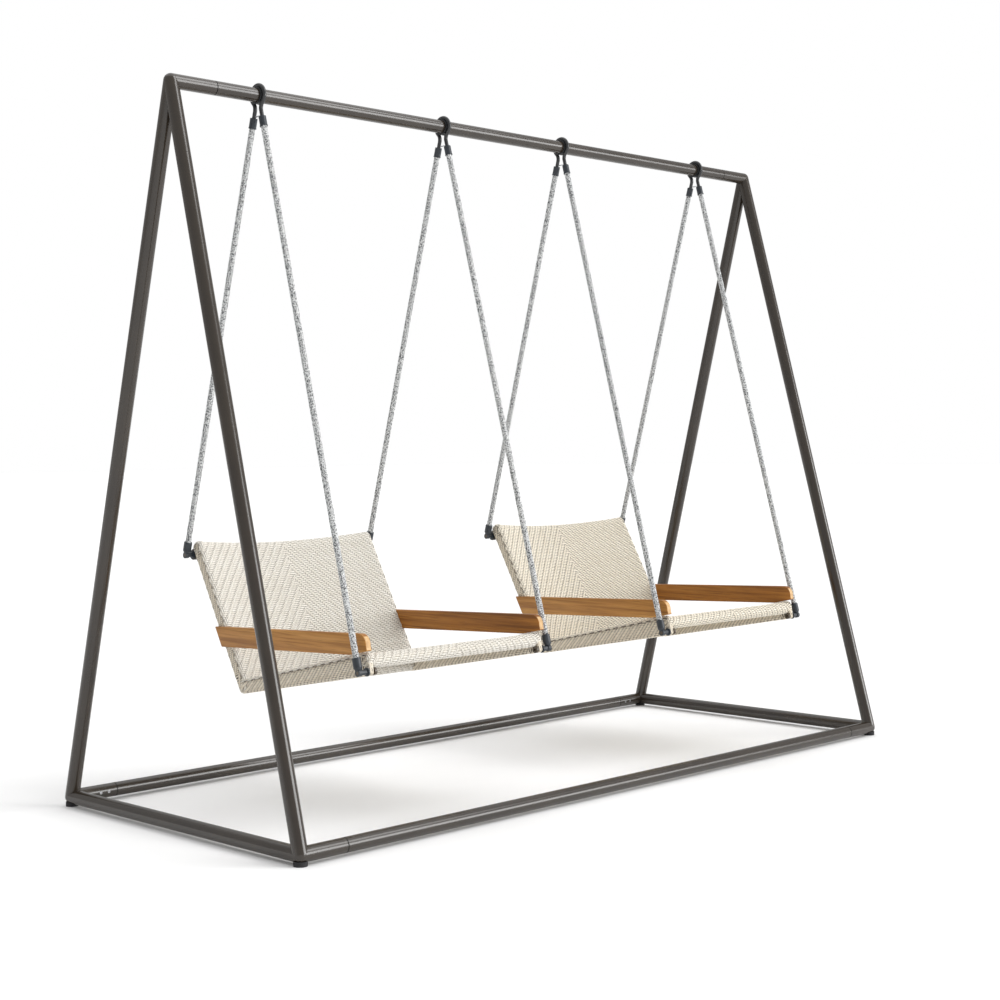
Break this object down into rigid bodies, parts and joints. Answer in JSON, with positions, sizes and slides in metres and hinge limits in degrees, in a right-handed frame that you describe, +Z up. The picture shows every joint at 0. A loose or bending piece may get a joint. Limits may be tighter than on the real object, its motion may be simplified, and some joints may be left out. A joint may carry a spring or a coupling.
{
  "type": "double swing seat",
  "caption": "Tubular A-frame garden swing stand with woven armchair seats hung side by side on braided ropes, with bent steel hooks and timber armrests",
  "frame": {"origin": "on the floor below the middle of the top rail", "axes": "+Z up, -Y the front of the seats, +X along the top rail from the left seat to the right seat"},
  "size_m": [2.6944, 1.1332, 2.1361],
  "materials": {
    "powder_coat": "satin dark bronze-grey powder coat",
    "bright_steel": "plain stainless steel",
    "rubber": "matt black rubber",
    "bare_alloy": "mill-finish aluminium",
    "hook_black": "black satin coated steel rod",
    "liner_plastic": "black acetal running liner",
    "fitting_dark": "blue-black moulded rope fitting",
    "bolt_bronze": "dark bronze coated steel",
    "rope": "light grey braided rope with dark flecks",
    "woven_cord": "ivory outdoor cord in herringbone weave",
    "teak": "oiled teak"
  },
  "bodies": {
    "stand": {"left_front_leg": "powder_coat", "left_rear_leg": "powder_coat", "left_base_tube": "powder_coat", "left_apex_stub": "powder_coat", "left_front_stub": "powder_coat", "left_rear_stub": "powder_coat", "right_front_leg": "powder_coat", "right_rear_leg": "powder_coat", "right_base_tube": "powder_coat", "right_apex_stub": "powder_coat", "right_front_stub": "powder_coat", "right_rear_stub": "powder_coat", "top_rail": "powder_coat", "front_rail": "powder_coat", "rear_rail": "powder_coat", "rail_spigots": "bare_alloy", "joint_screws": "bright_steel", "foot_pads": "rubber"},
    "left_seat": {"left_seat_outer_hook": "hook_black", "left_seat_inner_hook": "hook_black", "left_seat_hook_liners": "liner_plastic", "left_seat_keeper_pins": "bright_steel", "left_seat_rope_sleeves": "fitting_dark", "left_seat_outer_front_rope": "rope", "left_seat_outer_rear_rope": "rope", "left_seat_inner_front_rope": "rope", "left_seat_inner_rear_rope": "rope", "left_seat_rope_ends": "fitting_dark", "left_seat_hanger_bolts": "bolt_bronze", "left_seat_hanger_spacers": "fitting_dark", "left_seat_frame": "powder_coat", "left_seat_woven_seat": "woven_cord", "left_seat_woven_back": "woven_cord", "left_seat_outer_arm": "teak", "left_seat_inner_arm": "teak", "left_seat_arm_screws": "bright_steel"},
    "right_seat": {"right_seat_outer_hook": "hook_black", "right_seat_inner_hook": "hook_black", "right_seat_hook_liners": "liner_plastic", "right_seat_keeper_pins": "bright_steel", "right_seat_rope_sleeves": "fitting_dark", "right_seat_outer_front_rope": "rope", "right_seat_outer_rear_rope": "rope", "right_seat_inner_front_rope": "rope", "right_seat_inner_rear_rope": "rope", "right_seat_rope_ends": "fitting_dark", "right_seat_hanger_bolts": "bolt_bronze", "right_seat_hanger_spacers": "fitting_dark", "right_seat_frame": "powder_coat", "right_seat_woven_seat": "woven_cord", "right_seat_woven_back": "woven_cord", "right_seat_outer_arm": "teak", "right_seat_inner_arm": "teak", "right_seat_arm_screws": "bright_steel"}
  },
  "joints": [
    {"name": "left_seat_swing", "type": "hinge", "parent": "stand", "child": "left_seat", "pos_m": [-0.6525, 0, 2.1], "axis": [1, 0, 0], "range_deg": [-30, 30]},
    {"name": "right_seat_swing", "type": "hinge", "parent": "stand", "child": "right_seat", "pos_m": [0.6525, 0, 2.1], "axis": [1, 0, 0], "range_deg": [-30, 30]}
  ]
}
